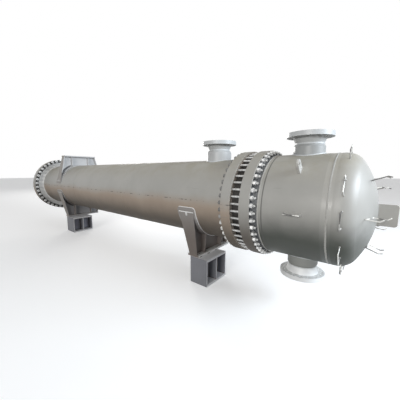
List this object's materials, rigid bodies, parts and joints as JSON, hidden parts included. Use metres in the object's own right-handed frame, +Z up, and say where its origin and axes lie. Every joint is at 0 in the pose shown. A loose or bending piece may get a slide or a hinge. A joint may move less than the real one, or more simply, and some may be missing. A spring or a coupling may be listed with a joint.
{
  "type": "shell and tube heat exchanger",
  "caption": "Horizontal shell and tube heat exchanger: bolted channel with dished head, top and bottom flanged nozzles, wider rear cover, saddles on welded stools, top bracket.",
  "frame": {"origin": "centre of the bounding box at floor level, under the shell axis", "axes": "+X along the tubes towards the channel and its dished head, +Y across to the far side, +Z up"},
  "size_m": [7.9462, 1.39, 1.881],
  "materials": {
    "shell_paint": "warm light grey satin paint",
    "nozzle_paint": "pale grey satin paint",
    "saddle_paint": "lavender grey satin paint",
    "stool_paint": "lavender grey satin paint, scuffed",
    "bare_steel": "machined carbon steel",
    "gasket": "spiral wound graphite and steel",
    "clip_steel": "bright drawn rod",
    "bolting": "zinc plated studs and nuts",
    "weld": "painted weld bead"
  },
  "bodies": {
    "root": {"shell": "shell_paint", "shell_front_flange": "shell_paint", "shell_rear_flange": "shell_paint", "front_tubesheet": "bare_steel", "floating_tubesheet": "bare_steel", "front_gaskets": "gasket", "rear_gasket": "gasket", "channel_flange": "shell_paint", "channel_barrel": "shell_paint", "channel_head": "shell_paint", "cover_flange": "shell_paint", "cover_head": "shell_paint", "floating_head": "bare_steel", "backing_ring": "bare_steel", "tubes": "bare_steel", "baffles": "bare_steel", "pass_partition": "bare_steel", "impingement_plate": "bare_steel", "shell_inlet_neck": "nozzle_paint", "shell_inlet_flange": "nozzle_paint", "shell_outlet_neck": "nozzle_paint", "shell_outlet_flange": "nozzle_paint", "channel_inlet_neck": "nozzle_paint", "channel_inlet_flange": "nozzle_paint", "channel_outlet_neck": "nozzle_paint", "channel_outlet_flange": "nozzle_paint", "front_wear_plate": "saddle_paint", "front_saddle_web": "saddle_paint", "front_saddle_ribs": "saddle_paint", "front_base_plate": "saddle_paint", "front_stool": "stool_paint", "rear_wear_plate": "saddle_paint", "rear_saddle_web": "saddle_paint", "rear_saddle_ribs": "saddle_paint", "rear_base_plate": "saddle_paint", "rear_stool": "stool_paint", "bracket_wear_plate": "saddle_paint", "bracket_web": "saddle_paint", "bracket_ribs": "saddle_paint", "bracket_plate": "saddle_paint", "lifting_lugs": "shell_paint", "head_end_plate": "shell_paint", "barrel_clips": "clip_steel", "knuckle_clips_ring": "clip_steel", "crown_clips_ring": "clip_steel"}
  },
  "joints": []
}
